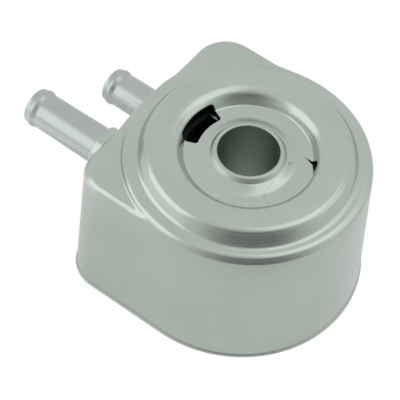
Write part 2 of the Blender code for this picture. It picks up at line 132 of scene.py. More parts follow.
# Centre sleeve and its rolled lip
SLEEVE_BORE = 11.5
SLEEVE_RADIUS = 12.5
SLEEVE_FOOT = 0.6
SLEEVE_FOOT_CORNER = 0.8
SLEEVE_FOOT_ROUND = 0.4
LIP_HEIGHT = FLOOR_HEIGHT + 3.1
LIP_RADIUS = 15.1
LIP_BORE_ROUND = 0.5
LIP_FLAT = 0.25
LIP_CROWN_ROUND = 1.4
LIP_FOOT_ROUND = 1.8
LIP_SLOPE = radians(32)
LIP_NECK_RISE = 1.2

# Base plate
FLANGE_HEIGHT = 1.4
FLANGE_PROUD = 0.4
FLANGE_ROUND = 0.45
SPIGOT_TOP = 5.0
SPIGOT_CHAMFER = 0.6
GROOVE_TOP = 2.8
GROOVE_INNER = 30.7
GROOVE_OUTER = 35.3
GROOVE_CHAMFER = 0.2

# Core cover, with a panel pressed up into the blind port and a web across the outlet
COVER_RADIUS = 36.3
COVER_SHEET = 0.8
COVER_TOP = FLOOR_HEIGHT - 1.85
PANEL_RISE = 1.84
PANEL_GAP = 1.2
PANEL_GAP_PLACE = (21.8, 12.2)
PANEL_GAP_REACH = 5.5
PANEL_CLEARANCE = 0.012
PANEL_RIM_DROP = 0.12
WEB_SHARE = 0.8
WEB_SIDES = (7.4, 8.3)

# Oil cells
CELL_COUNT = 6
CELLS_START = SPIGOT_TOP + CLEARANCE
CELL_PITCH = (FLOOR_HEIGHT - CAN_SHEET - CLEARANCE - COVER_SHEET - CELLS_START) / CELL_COUNT

# Necks and stubs, with the side and the height of each stub
STUBS = {"upper_stub": (-21.8, 46.2), "lower_stub": (25.3, 15.0)}
NECK_BORE = 7.6
NECK_RADIUS = 8.9
NECK_FLARE = 1.25
NECK_LENGTH = 3.6
NECK_END_ROUND = 0.6
NECK_MOUTH_ROUND = 0.4
NECK_ENTRY_ROUND = 0.9
STUB_TIP = -83.0
STUB_ROOT_DEPTH = 2.5
BEAD_SETBACK = 3.1
BRAZE_SETBACK = 0.15

# Mesh fineness: counts, then the places of rows and loose points
ROUND_COLUMNS = 120
SIDE_COLUMNS = 16
CORNER_COLUMNS = 22
FLAT_COLUMNS = 60
PATCH_EXTRA_COLUMNS = 6
OUTER_ROWS = 42
INNER_ROWS = 20
WALL_ROWS = 14
NECK_FACETS = 72
NECK_FOOT_RINGS = 9
SLEEVE_FACETS = 144
COVER_FACETS = 120
HALVINGS = 36
OUTLINE_STEP = 0.35
JOIN_RADIUS = 26.4
EDGE_START = 43.0
EDGE_END = 53.7
EDGE_RAYS = 420
RAY_HEIGHT = 50.0
RAY_LENGTH = 30.0
EDGE_SPACING, EDGE_BEND = 1.3, radians(7)
BEND_SMOOTHING = 4
SEARCH_START, SEARCH_END = -38.0, -62.0
BORDER_MARGIN, NECK_MARGIN = 0.3, 1.3
SEAT_ROWS = (31.2, 32.6, 34.2)
FLOOR_ROWS = (13.4, 14.4, 15.6, 17, 18.4, 19.8, 21.2, 22.3)
RIM_ROWS = (24.5, 24.9, 25.3, 25.7, 26.05)
PIT_ROWS = (0.02, 0.14, 0.26, 0.38, 0.5)
PUNCH_ROWS = (0.0, 0.02, 0.07, 0.15, PUNCH_ROUND)
PANEL_ROWS = (0.04, 0.12, 0.22, 0.34)
NECK_PATCH_ROWS = (0.4, 1.0)


# Small geometry helpers, in millimetres

def arc(centre, radius, start, end, steps):
    angles = np.linspace(start, end, steps + 1)
    return [(centre[0] + radius * cos(a), centre[1] + radius * sin(a)) for a in angles]


def full_circle(count):
    return np.linspace(0, 2 * pi, count, endpoint=False)


def circle_points(radius, azimuths):
    return np.column_stack((radius * np.cos(azimuths), radius * np.sin(azimuths)))


def level_row(plan, height):
    """Points in space from points in plan, at one height or at a height each."""
    return np.column_stack((plan, np.broadcast_to(height, len(plan))))


def smooth_step(low, high, value):
    t = np.clip((value - low) / (high - low), 0, 1)
    return t * t * (3 - 2 * t)


def inside_polygon(points, polygon):
    """Even and odd crossings, for many points at once."""
    x, y = points[:, 0], points[:, 1]
    inside = np.zeros(len(points), bool)
    for (x1, y1), (x2, y2) in zip(polygon, np.roll(polygon, -1, axis=0)):
        if y1 != y2:
            crosses = (y1 > y) != (y2 > y)
            inside ^= crosses & (x < (x2 - x1) * (y - y1) / (y2 - y1) + x1)
    return inside


def polygon_distance(points, polygon):
    """Distance from each point to a closed outline."""
    best = np.full(len(points), 1e9)
    for a, b in zip(polygon, np.roll(polygon, -1, axis=0)):
        along = b - a
        t = np.clip(((points - a) @ along) / max(along @ along, 1e-12), 0, 1)
        best = np.minimum(best, np.linalg.norm(points - a - t[:, None] * along, axis=1))
    return best


def inside_depth(points, outline):
    return polygon_distance(points, outline) * np.where(inside_polygon(points, outline), 1, -1)


def clear_of(holes):
    """A test for triangles' centres, which drops those that lie in a hole."""
    def keep(centres):
        return ~np.any([inside_polygon(centres, hole) for hole in holes], axis=0)

    return keep


def outset(outline, distance):
    """A rounded outline moved outwards, point by point along its own normals."""
    before, after = np.roll(outline, 1, axis=0), np.roll(outline, -1, axis=0)
    first, second = outline - before, after - outline
    first /= np.linalg.norm(first, axis=1)[:, None]
    second /= np.linalg.norm(second, axis=1)[:, None]
    tangent = first + second
    tangent /= np.linalg.norm(tangent, axis=1)[:, None]
    turn = np.einsum("ij,ij->i", first, tangent)
    normal = np.stack((tangent[:, 1], -tangent[:, 0]), axis=1)
    return outline + normal * (distance / np.maximum(turn, 0.5))[:, None]


def even_outline(outline, step):
    """The same closed outline with points at an even spacing."""
    closed = np.vstack((outline, outline[:1]))
    length = np.concatenate(([0], np.cumsum(np.linalg.norm(np.diff(closed, axis=0), axis=1))))
    count = int(length[-1] / step)
    places = np.linspace(0, length[-1], count, endpoint=False)
    return np.stack([np.interp(places, length, closed[:, i]) for i in (0, 1)], axis=1)


def counter_clockwise(outline):
    following = np.roll(outline, -1, axis=0)
    area = np.sum(outline[:, 0] * following[:, 1] - following[:, 0] * outline[:, 1])
    return outline if area > 0 else outline[::-1].copy()


def last_inside(inside, outside, within):
    """Halves the way between places inside and outside a body until they meet."""
    for _ in range(HALVINGS):
        middle = (inside + outside) / 2
        held = within(middle)
        inside, outside = np.where(held, middle, inside), np.where(held, outside, middle)
    return inside


def fill_patch(loops, loose, keep):
    """Triangles over outlines and loose points in a plane; keep picks them by their centres.

    Also tells which given point each resulting one is, or -1 for a new one.
    """
    points = np.vstack(list(loops) + [loose])
    edges, start = [], 0
    for loop in loops:
        count = len(loop)
        edges += [(start + i, start + (i + 1) % count) for i in range(count)]
        start += count
    result = delaunay_2d_cdt([Vector(p) for p in points], edges, [], 0, 1e-7, True)
    points, triangles = np.array([tuple(p) for p in result[0]]), np.array(result[2])
    origin = np.array([given[0] if given else -1 for given in result[3]])
    centres = points[triangles].mean(axis=1)
    return points, triangles[keep(centres)], origin


# Meshes and objects

WELD = 0.002 * MM


def weld(mesh, smooth_angle=38):
    """Merges doubled points, turns the faces outwards and shades them smooth between sharp edges."""
    bm = bmesh.new()
    bm.from_mesh(mesh)
    bmesh.ops.remove_doubles(bm, verts=bm.verts, dist=WELD)
    bmesh.ops.dissolve_degenerate(bm, edges=bm.edges, dist=WELD)
    bmesh.ops.recalc_face_normals(bm, faces=bm.faces)
    bm.to_mesh(mesh)
    bm.free()
    mesh.shade_smooth()
    mesh.set_sharp_from_angle(angle=radians(smooth_angle))


def place_object(name, data):
    """A new object in the scene, at the origin."""
    made = bpy.data.objects.new(name, data)
    bpy.context.scene.collection.objects.link(made)
    return made


def evaluated_mesh(item, name):
    """What an object's modifiers make of it, as a plain mesh."""
    bpy.context.view_layer.update()
    depsgraph = bpy.context.evaluated_depsgraph_get()
    mesh = bpy.data.meshes.new_from_object(item.evaluated_get(depsgraph))
    mesh.name = name
    return mesh


def finish_piece(mesh, material, nodes):
    """Puts a mesh in the scene as a piece that stands for CAD nodes."""
    mesh.materials.clear()
    mesh.materials.append(material)
    piece = place_object(mesh.name, mesh)
    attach(piece, "root")
    if nodes:
        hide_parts(*nodes)


class Shell:
    """Points and faces of one piece, gathered part by part and welded at the end."""

    def __init__(self):
        self.points, self.faces = [], []

    def add(self, points):
        start = len(self.points)
        self.points.extend(map(tuple, points))
        return start

    def grid(self, rows, closed=True, flip=False):
        """Faces between rows of points; each row has as many points as the others."""
        starts = [self.add(row) for row in rows]
        count = len(rows[0])
        for low, high in zip(starts, starts[1:]):
            for i in range(count if closed else count - 1):
                j = (i + 1) % count
                face = (low + i, low + j, high + j, high + i)
                self.faces.append(face[::-1] if flip else face)

    def patch(self, points, faces, flip=False):
        start = self.add(points)
        for corners in faces:
            face = tuple(start + i for i in corners)
            self.faces.append(face[::-1] if flip else face)

    def mesh(self, name, smooth_angle=38):
        """Moves the parts to the bore axis and makes them one welded mesh."""
        points = (np.array(self.points) + (BORE_AXIS, 0, 0)) * MM
        data = bpy.data.meshes.new(name)
        data.from_pydata(points.tolist(), [], self.faces)
        weld(data, smooth_angle)
        return data


# Plan and section of the can

def outline_radius(azimuth, inset, side_inset):
    """Distance from the bore axis to the D outline, drawn in all round and once more at its sides."""
    c, s = cos(azimuth), sin(azimuth)
    radius, flat = BODY_RADIUS - inset, FLAT_DISTANCE - inset
    if c >= 0:
        return radius
    straight = max(min(flat / -c, (radius - side_inset) / max(abs(s), 1e-9)), radius)
    centre = (CORNER_RADIUS - FLAT_DISTANCE, BODY_RADIUS - side_inset - CORNER_RADIUS)
    if straight * c < centre[0] and straight * abs(s) > centre[1]:
        along = c * centre[0] + abs(s) * centre[1]
        corner = CORNER_RADIUS - inset
        return along + sqrt(along ** 2 - centre[0] ** 2 - centre[1] ** 2 + corner ** 2)
    return straight


def outline_radii(azimuths, inset=0.0, side_inset=0.0):
    return np.array([outline_radius(a, inset, side_inset) for a in azimuths])


def d_distance(x, y, side_inset):
    """Signed distance in plan to the D outline, negative inside."""
    box_x = -x - (FLAT_DISTANCE - CORNER_RADIUS)
    box_y = np.abs(y) - (BODY_RADIUS - side_inset - CORNER_RADIUS)
    outside = np.hypot(np.maximum(box_x, 0), np.maximum(box_y, 0))
    square = outside + np.minimum(np.maximum(box_x, box_y), 0) - CORNER_RADIUS
    round_part = np.hypot(x, y) - BODY_RADIUS
    return np.where(x >= 0, round_part, np.minimum(square, round_part))


def rounded_top(side, top, edge_radius):
    """Distance to a body with a side and a top that meet in a round edge."""
    u, v = side + edge_radius, top + edge_radius
    return np.minimum(np.maximum(u, v), 0) + np.hypot(np.maximum(u, 0), np.maximum(v, 0)) - edge_radius


def body_distance(azimuths, radius, height, excess):
    """Distance to the can's outside: round shoulder and D deck, run together softly.

    The excess says how far the D outline stands past the round one. Where it comes down
    to nothing, the deck climbs to the shoulder. Where it is large, the shoulder stands
    clear above the deck and has a sharper edge.
    """
    clear = smooth_step(0, STEP_BLEND_START, excess)
    shoulder_edge = EDGE_RADIUS + (STEP_EDGE_RADIUS - EDGE_RADIUS) * clear
    blend = np.maximum(STEP_BLEND * clear, 1e-6)
    x, y = radius * np.cos(azimuths), radius * np.sin(azimuths)
    level = DECK_HEIGHT + DECK_CLIMB * smooth_step(-FLAT_DISTANCE, DECK_CLIMB_END, x)
    level = level + (SHOULDER_HEIGHT - level) * (1 - smooth_step(0, DECK_RAMP, excess))
    round_side = radius - BODY_RADIUS + WALL_DRAFT * height
    shoulder = rounded_top(round_side, height - SHOULDER_HEIGHT, shoulder_edge)
    side = d_distance(x, y, SIDE_DRAFT * height) + WALL_DRAFT * height
    deck = rounded_top(side, height - level, EDGE_RADIUS)
    share = np.maximum(blend - np.abs(shoulder - deck), 0) / blend
    return np.minimum(shoulder, deck) - share ** 2 * blend / 4


def can_distance(x, y, z):
    """Distance to the can's outside for points in space."""
    azimuths = np.arctan2(y, x)
    return body_distance(azimuths, np.hypot(x, y), z, outline_radii(azimuths) - BODY_RADIUS)


def meet_can(y, z, level, slant=0.0):
    """X where lines reach a distance from the can's outside on the stub side.

    The lines run along X, or climb towards the stubs when slant is 1.
    """
    def within(x):
        return can_distance(x, y, z - slant * x) < level

    return last_inside(np.full(len(y), SEARCH_START), np.full(len(y), SEARCH_END), within)


def flat_side(height):
    return WALL_DRAFT * height - FLAT_DISTANCE


def can_azimuths():
    """Directions of the can's columns, and which of them lie on the flat side."""
    corner_x, corner_y = CORNER_RADIUS - FLAT_DISTANCE, BODY_RADIUS - CORNER_RADIUS
    side_end = atan2(BODY_RADIUS, corner_x)
    flat_start = atan2(corner_y, -FLAT_DISTANCE)
    half = list(np.linspace(0, pi / 2, ROUND_COLUMNS // 2, endpoint=False))
    half += list(np.linspace(pi / 2, side_end, SIDE_COLUMNS, endpoint=False))
    corner = arc((corner_x, corner_y), CORNER_RADIUS, pi / 2, pi, CORNER_COLUMNS)
    half += [atan2(y, x) for x, y in corner[:-1]]
    flat_index = len(half)
    half += list(np.linspace(flat_start, pi, FLAT_COLUMNS // 2, endpoint=False))
    azimuths = np.array(half + [pi] + [-a for a in half[:0:-1]])
    return azimuths, flat_index, len(azimuths) - flat_index


def edge_section(radius, height, count):
    """Points down one section of the edge, closer together where it bends."""
    last = np.argmin(height > EDGE_END)
    share = (height[last - 1] - EDGE_END) / (height[last - 1] - height[last])
    end = radius[last - 1] + share * (radius[last] - radius[last - 1])
    line = np.column_stack((np.append(radius[:last], end), np.append(height[:last], EDGE_END)))
    step = np.diff(line, axis=0)
    bending = np.abs(np.gradient(np.unwrap(np.arctan2(step[:, 1], step[:, 0]))))
    window = 2 * BEND_SMOOTHING + 1
    padded = np.pad(bending, BEND_SMOOTHING, mode="edge")
    bending = np.convolve(padded, np.full(window, 1 / window), "valid")
    weight = np.cumsum(np.linalg.norm(step, axis=1) / EDGE_SPACING + bending / EDGE_BEND)
    weight = np.concatenate(([0], weight))
    wanted = np.linspace(0, weight[-1], count)
    return [np.interp(wanted, weight, line[:, i]) for i in (0, 1)]


def edge_rows(azimuths, level, count):
    """Rows from the shoulder over the edge to the top of the wall, at a depth in the sheet."""
    excess = outline_radii(azimuths)[:, None] - BODY_RADIUS
    angle = np.linspace(pi / 2, 0, EDGE_RAYS)[None, :]

    def ray_places(reach):
        return EDGE_START + reach * np.cos(angle), RAY_HEIGHT + reach * np.sin(angle)

    def within(reach):
        return body_distance(azimuths[:, None], *ray_places(reach), excess) < level

    start = np.zeros((len(azimuths), EDGE_RAYS))
    radii, heights = ray_places(last_inside(start, start + RAY_LENGTH, within))
    places = np.array([edge_section(*section, count) for section in zip(radii, heights)])
    return [level_row(circle_points(places[:, 0, i], azimuths), places[:, 1, i]) for i in range(count)]


# Crown of the can, which is turned up to where the edge starts

def hub_swell(radius):
    """The recess floor rises softly towards the sleeve."""
    return HUB_SWELL * (1 - smooth_step(HUB_RADIUS, HUB_SWELL_FOOT, radius))


def recess_foot(depth):
    return arc(RECESS_FOOT, RECESS_FOOT_RADIUS + depth, -pi / 2, RECESS_SLOPE - pi / 2, 10)


def crown_line(depth):
    """Radius and height of the turned part of the crown, from the hub to the edge."""
    line = [(HUB_RADIUS, FLOOR_HEIGHT - depth)] + recess_foot(depth)
    rim = (RECESS_RIM_END, SEAT_HEIGHT - RECESS_RIM_RADIUS)
    line += arc(rim, RECESS_RIM_RADIUS - depth, pi / 2 + RECESS_SLOPE, pi / 2, 14)
    line += [(radius, SEAT_HEIGHT - depth) for radius in SEAT_ROWS]
    seat_edge = (SEAT_OUTER_RADIUS, SEAT_HEIGHT - SEAT_EDGE_RADIUS)
    line += arc(seat_edge, SEAT_EDGE_RADIUS - depth, pi / 2, pi / 2 - RISER_SLOPE, 12)
    riser = (SEAT_OUTER_RADIUS + RISER_WIDTH, SHOULDER_HEIGHT + RISER_FOOT_RADIUS)
    line += arc(riser, RISER_FOOT_RADIUS + depth, 3 * pi / 2 - RISER_SLOPE, 3 * pi / 2, 12)
    line += [(EDGE_START, SHOULDER_HEIGHT - depth)]
    return np.array(line)


def crown_height(radius, depth):
    line = crown_line(depth)
    return np.interp(radius, line[:, 0], line[:, 1]) + hub_swell(radius)


def port_outline():
    """The kidney slot on the stub side, where oil leaves for the filter."""
    mean = (PORT_INNER_RADIUS + PORT_OUTER_RADIUS) / 2
    half_length, half_width = PORT_HALF_ANGLE * mean, (PORT_OUTER_RADIUS - PORT_INNER_RADIUS) / 2
    points = []
    for k, (sx, sy) in enumerate(((1, 1), (-1, 1), (-1, -1), (1, -1))):
        centre = (sx * (half_length - PORT_CORNER), sy * (half_width - PORT_CORNER))
        points += arc(centre, PORT_CORNER, k * pi / 2, (k + 1) * pi / 2, 8)
    flat = even_outline(np.array(points), OUTLINE_STEP)
    return counter_clockwise(circle_points(mean + flat[:, 1], pi - flat[:, 0] / mean))


def blind_port_outline():
    """The wide port, straight along the lip, round along the recess, cut off radially."""
    side, corner, small = BLIND_PORT_SIDE, BLIND_PORT_CORNER, BLIND_PORT_OUTER_CORNER
    points = arc((BLIND_PORT_INSET + corner, side - corner), corner, pi, pi / 2, 10)
    reach = BLIND_PORT_REACH - small
    outer_corner = (sqrt(reach ** 2 - (side - small) ** 2), side - small)
    turn = atan2(outer_corner[1], outer_corner[0])
    points += arc(outer_corner, small, pi / 2, turn, 5)
    points += arc((0, 0), BLIND_PORT_REACH, turn, -BLIND_PORT_CUT + BLIND_PORT_CUT_TURN, 40)
    cut = Vector((cos(BLIND_PORT_CUT), -sin(BLIND_PORT_CUT)))
    low = BLIND_PORT_INSET / cos(BLIND_PORT_CUT)
    points += [tuple(cut * (BLIND_PORT_REACH - BLIND_PORT_CUT_TRIM)),
               tuple(cut * (low + BLIND_PORT_INNER_TRIM)),
               (BLIND_PORT_INSET, -low * sin(BLIND_PORT_CUT) + BLIND_PORT_INNER_TRIM)]
    return counter_clockwise(even_outline(np.array(points), OUTLINE_STEP))


OUTLET, BLIND_PORT = port_outline(), blind_port_outline()


def polar_points(radii, azimuths, outlines, margin):
    """Loose points on circles, none of them inside an outline or closer to it than a margin."""
    radius, azimuth = np.meshgrid(radii, azimuths)
    points = circle_points(radius.ravel(), azimuth.ravel())
    keep = np.ones(len(points), bool)
    for outline in outlines:
        near = polygon_distance(points, outline) < margin
        keep &= ~near & ~inside_polygon(points, outline)
    return points[keep]


def punch_share(points, port):
    """How much of the punched edge's round is left: the blind port is ironed flat away from its gap."""
    if port is OUTLET:
        return np.ones(len(points))
    corner = np.linalg.norm(points - np.array(PANEL_GAP_PLACE), axis=1)
    return 1 - smooth_step(IRONED_START, IRONED_END, corner)


def crown_relief(flat):
    """How far the recess floor's top is let down at the punched edges and in the pit."""
    relief = PIT_DEPTH * (1 - smooth_step(PIT_FLOOR, PIT_BRIM, np.linalg.norm(flat - PIT_PLACE, axis=1)))
    for port in (OUTLET, BLIND_PORT):
        near = np.minimum(polygon_distance(flat, port), PUNCH_ROUND)
        drop = PUNCH_ROUND - np.sqrt(PUNCH_ROUND ** 2 - (PUNCH_ROUND - near) ** 2)
        relief += drop * punch_share(flat, port)
    return relief


def build_crown_floor(shell, azimuths):
    """Recess floor with its two punched ports, upper and lower side."""
    radii = FLOOR_ROWS + tuple(radius for radius, _ in recess_foot(0)) + RIM_ROWS
    pit = np.vstack([circle_points(radius, full_circle(10)) + PIT_PLACE for radius in PIT_ROWS])
    join, hub = circle_points(JOIN_RADIUS, azimuths), circle_points(HUB_RADIUS, azimuths)
    for depth, offsets in ((0.0, PUNCH_ROWS), (CAN_SHEET, (PUNCH_BREAK,))):
        rings = [[outset(port, offset) for offset in offsets] for port in (OUTLET, BLIND_PORT)]
        grid = polar_points(radii, azimuths, [rings[0][0], rings[1][-1]], PUNCH_ROUND + 0.25)
        if depth == 0:
            grid = np.vstack((grid[np.linalg.norm(grid - PIT_PLACE, axis=1) > 0.6], pit))
        holes = [rings[0][0], rings[1][0], hub]
        flat, triangles, _ = fill_patch([join, hub] + rings[0] + rings[1], grid, clear_of(holes))
        height = crown_height(np.linalg.norm(flat, axis=1), depth)
        if depth == 0:
            height -= crown_relief(flat)
        shell.patch(level_row(flat, height), triangles, flip=depth > 0)
    for port in (OUTLET, BLIND_PORT):
        broken = outset(port, PUNCH_BREAK)
        top = crown_height(np.linalg.norm(port, axis=1), 0) - PUNCH_ROUND * punch_share(port, port)
        bottom = crown_height(np.linalg.norm(broken, axis=1), CAN_SHEET)
        shell.grid([level_row(port, top), level_row(broken, bottom)])


# Stub side of the can

def neck_rings(side, height):
    """Rings of a plunged neck, from its soft foot on the can over its end to the inside."""
    facets = full_circle(NECK_FACETS)
    across, up = np.cos(facets), np.sin(facets)

    def ring(radius, x):
        x = np.broadcast_to(x, len(facets))
        return np.column_stack((x, side + radius * across, height + radius * up))

    centre = ring(NECK_RADIUS + NECK_FLARE, 0.0)
    centre[:, 0] = meet_can(centre[:, 1], centre[:, 2], NECK_FLARE)
    normal = np.empty_like(centre)
    for axis, step in enumerate(np.eye(3) * 0.01):
        normal[:, axis] = can_distance(*(centre + step).T) - can_distance(*(centre - step).T)
    foot = -normal / np.linalg.norm(normal, axis=1)[:, None]
    inward = np.column_stack((np.zeros(len(facets)), -across, -up))
    angle = np.arccos(np.clip(np.einsum("ij,ij->i", foot, inward), -1, 1))[:, None]
    rings = []
    for share in np.linspace(0, 1, NECK_FOOT_RINGS):
        heading = (np.sin((1 - share) * angle) * foot + np.sin(share * angle) * inward) / np.sin(angle)
        rings.append(centre + heading * NECK_FLARE)

    end = flat_side(height) - NECK_LENGTH
    outer = (NECK_RADIUS - NECK_END_ROUND, end + NECK_END_ROUND)
    mouth = (NECK_BORE + NECK_MOUTH_ROUND, end + NECK_MOUTH_ROUND)
    entry = (NECK_BORE + NECK_ENTRY_ROUND, NECK_ENTRY_ROUND)
    section = arc(outer, NECK_END_ROUND, 0, -pi / 2, 7) + arc(mouth, NECK_MOUTH_ROUND, -pi / 2, -pi, 5)
    rings += [ring(radius, x) for radius, x in section]
    inner = ring(entry[0], 0.0)
    inside = meet_can(inner[:, 1], inner[:, 2], -CAN_SHEET)
    return rings + [ring(radius, inside - back)
                    for radius, back in arc(entry, NECK_ENTRY_ROUND, pi, 3 * pi / 2, 6)]


def build_flat_side(shell, rows, holes, depth):
    """The stub side with its edge, between the other columns, round the holes of the necks.

    It is laid flat along lines that climb towards the stubs, filled there and put back.
    """
    points = np.array(rows)

    def flatten(place):
        return np.column_stack((place[:, 1], place[:, 0] + place[:, 2]))

    def put_back(flat):
        x = meet_can(flat[:, 0], flat[:, 1], -depth, slant=1.0)
        return np.column_stack((x, flat[:, 0], flat[:, 1] - x))

    border = np.vstack((points[0], points[1:-1, -1], points[-1][::-1], points[-2:0:-1, 0]))
    outline, flat_holes = flatten(border), [flatten(hole) for hole in holes]
    near = []
    for hole in flat_holes:
        for distance in NECK_PATCH_ROWS:
            flat = outset(counter_clockwise(hole), distance)
            near.append(put_back(flat[inside_depth(flat, outline) > BORDER_MARGIN]))
    middle = points[1:-1, 1:-1].reshape(-1, 3)
    flat = flatten(middle)
    free = np.ones(len(flat), bool)
    for hole in flat_holes:
        free &= inside_depth(flat, hole) < -NECK_MARGIN
    given = np.vstack([border] + holes + near + [middle[free]])
    loose = np.vstack([flatten(ring) for ring in near] + [flat[free]])
    clear = clear_of(flat_holes)
    flat, triangles, origin = fill_patch(
        [outline] + flat_holes, loose, lambda centres: inside_polygon(centres, outline) & clear(centres))
    placed = put_back(flat)
    placed[origin >= 0] = given[origin[origin >= 0]]
    shell.patch(placed, triangles, flip=depth > 0)


def build_housing(material):
    """Drawn can, one sheet with an outer and an inner side that meet at its foot and its openings."""
    azimuths, flat_from, flat_to = can_azimuths()
    flat_from, flat_to = flat_from - PATCH_EXTRA_COLUMNS, flat_to + PATCH_EXTRA_COLUMNS
    order = np.concatenate((np.arange(flat_to, len(azimuths)), np.arange(0, flat_from + 1)))
    necks = [neck_rings(side, height) for side, height in STUBS.values()]
    shell = Shell()
    build_crown_floor(shell, azimuths)
    feet = []
    for depth, count in ((0.0, OUTER_ROWS), (CAN_SHEET, INNER_ROWS)):
        line = crown_line(depth)
        line = line[line[:, 0] > JOIN_RADIUS + 0.05]
        line = np.vstack(([JOIN_RADIUS, crown_height(JOIN_RADIUS, depth)], line))
        turned = [level_row(circle_points(radius, azimuths), z) for radius, z in line]
        side_rows = edge_rows(azimuths, -depth, count)
        turned[-1] = side_rows[0]
        shell.grid(turned, flip=depth > 0)
        for z in np.linspace(EDGE_END, CAN_FOOT, WALL_ROWS)[1:]:
            radii = outline_radii(azimuths, WALL_DRAFT * z + depth, SIDE_DRAFT * z)
            side_rows.append(level_row(circle_points(radii, azimuths), z))
        shell.grid([row[order] for row in side_rows], closed=False, flip=depth > 0)
        holes = [neck[-1 if depth else 0] for neck in necks]
        build_flat_side(shell, [row[flat_from:flat_to + 1] for row in side_rows], holes, depth)
        feet.append(side_rows[-1])
    shell.grid(feet)
    hub_top = level_row(circle_points(HUB_RADIUS, azimuths), FLOOR_HEIGHT + HUB_SWELL)
    shell.grid([hub_top, hub_top - (0, 0, CAN_SHEET)], flip=True)
    for neck in necks:
        shell.grid(neck)
    finish_piece(shell.mesh("can"), material, ["housing"])


# Turned sleeve

def build_sleeve(material):
    """Centre sleeve whose end is rolled out over the recess floor."""
    crown_start = SLEEVE_BORE + LIP_BORE_ROUND
    line = [(SLEEVE_BORE, z) for z in (SLEEVE_FOOT, 6, 20, 35, 48, 58)]
    line += arc((crown_start, LIP_HEIGHT - LIP_BORE_ROUND), LIP_BORE_ROUND, pi, pi / 2, 8)
    crown = (crown_start + LIP_FLAT, LIP_HEIGHT - LIP_CROWN_ROUND)
    line += arc(crown, LIP_CROWN_ROUND, pi / 2, pi / 2 - LIP_SLOPE, 10)
    foot = (LIP_RADIUS, FLOOR_HEIGHT + float(hub_swell(LIP_RADIUS)) + LIP_FOOT_ROUND)
    line += arc(foot, LIP_FOOT_ROUND, 3 * pi / 2 - LIP_SLOPE, 3 * pi / 2, 8)
    line += [(HUB_RADIUS, FLOOR_HEIGHT + HUB_SWELL + 0.02), (SLEEVE_RADIUS, FLOOR_HEIGHT + LIP_NECK_RISE),
             (SLEEVE_RADIUS, 30), (SLEEVE_RADIUS, SLEEVE_FOOT_CORNER)]
    line += arc((SLEEVE_RADIUS - SLEEVE_FOOT_ROUND, SLEEVE_FOOT_CORNER), SLEEVE_FOOT_ROUND, 0, -pi / 2, 4)
    shell = Shell()
    rows = [level_row(circle_points(radius, full_circle(SLEEVE_FACETS)), z) for radius, z in line]
    shell.grid(rows + rows[:1])
    finish_piece(shell.mesh("centre_sleeve_rolled"), material, ["center_sleeve"])


# Base plate

def build_base(material):
    """Flange with a seal groove below and the oil inlet through it."""
    azimuths = can_azimuths()[0]

    def turned(section):
        return [level_row(circle_points(radius, azimuths), z) for radius, z in section]

    def outlined(section):
        return [level_row(circle_points(outline_radii(azimuths, -proud), azimuths), z)
                for proud, z in section]

    edge = FLANGE_PROUD - FLANGE_ROUND
    fit = -CAN_SHEET - CLEARANCE
    rows = turned([(HUB_RADIUS, 0.0), (20.0, 0.0), (GROOVE_INNER - GROOVE_CHAMFER, 0.0),
                   (GROOVE_INNER, GROOVE_CHAMFER), (GROOVE_INNER, GROOVE_TOP), (GROOVE_OUTER, GROOVE_TOP),
                   (GROOVE_OUTER, GROOVE_CHAMFER), (GROOVE_OUTER + GROOVE_CHAMFER, 0.0)])
    rows += outlined([(-4.0, 0.0)] + arc((edge, FLANGE_ROUND), FLANGE_ROUND, -pi / 2, 0, 5)
                     + arc((edge, FLANGE_HEIGHT - FLANGE_ROUND), FLANGE_ROUND, 0, pi / 2, 5)
                     + [(fit - WALL_DRAFT * FLANGE_HEIGHT, FLANGE_HEIGHT),
                        (fit - WALL_DRAFT * SPIGOT_TOP + 0.1, SPIGOT_TOP - SPIGOT_CHAMFER),
                        (fit - WALL_DRAFT * SPIGOT_TOP - 0.5, SPIGOT_TOP)])
    rows += turned([(30.0, SPIGOT_TOP), (HUB_RADIUS, SPIGOT_TOP)])
    shell = Shell()
    shell.grid(rows + rows[:1])
    plate = place_object("base_flange_uncut", shell.mesh("base_flange", smooth_angle=50))

    punch_shell, inlet = Shell(), counter_clockwise(-OUTLET)
    low, high = [level_row(inlet, z) for z in (-3.0, SPIGOT_TOP + 3.0)]
    punch_shell.grid([low, high])
    punch_shell.patch(low, [range(len(low))], flip=True)
    punch_shell.patch(high, [range(len(high))])
    punch = place_object("inlet_punch", punch_shell.mesh("inlet_punch"))
    cut = plate.modifiers.new("inlet", "BOOLEAN")
    cut.operation, cut.solver, cut.object = "DIFFERENCE", "EXACT", punch
    result = evaluated_mesh(plate, "base_flange_cut")
    for item in (punch, plate):
        bpy.data.objects.remove(item, do_unlink=True)
    finish_piece(result, material, ["base_plate"])


# Core cover seen through the ports

def panel_outline():
    """Outline of the panel that fills the blind port, with a gap left at one outer corner."""
    corner = np.linalg.norm(BLIND_PORT - np.array(PANEL_GAP_PLACE), axis=1)
    gap = PANEL_GAP * (1 - smooth_step(0.5, PANEL_GAP_REACH, corner)) + PANEL_CLEARANCE
    return outset(BLIND_PORT, -gap)


def cover_height(points, panel):
    """Top of the cover, pressed up for the panel in the blind port and the web in the outlet."""
    depth = inside_depth(points, panel)
    rim = PANEL_RIM_DROP * (1 - smooth_step(0.04, 0.3, depth)) * punch_share(points, BLIND_PORT)
    lift = PANEL_RISE + hub_swell(np.linalg.norm(points, axis=1)) - rim
    web = PANEL_RISE * WEB_SHARE * smooth_step(0.1, 0.6, inside_depth(points, OUTLET))
    return COVER_TOP + np.maximum(np.where(depth > 0.02, lift, 0), web)


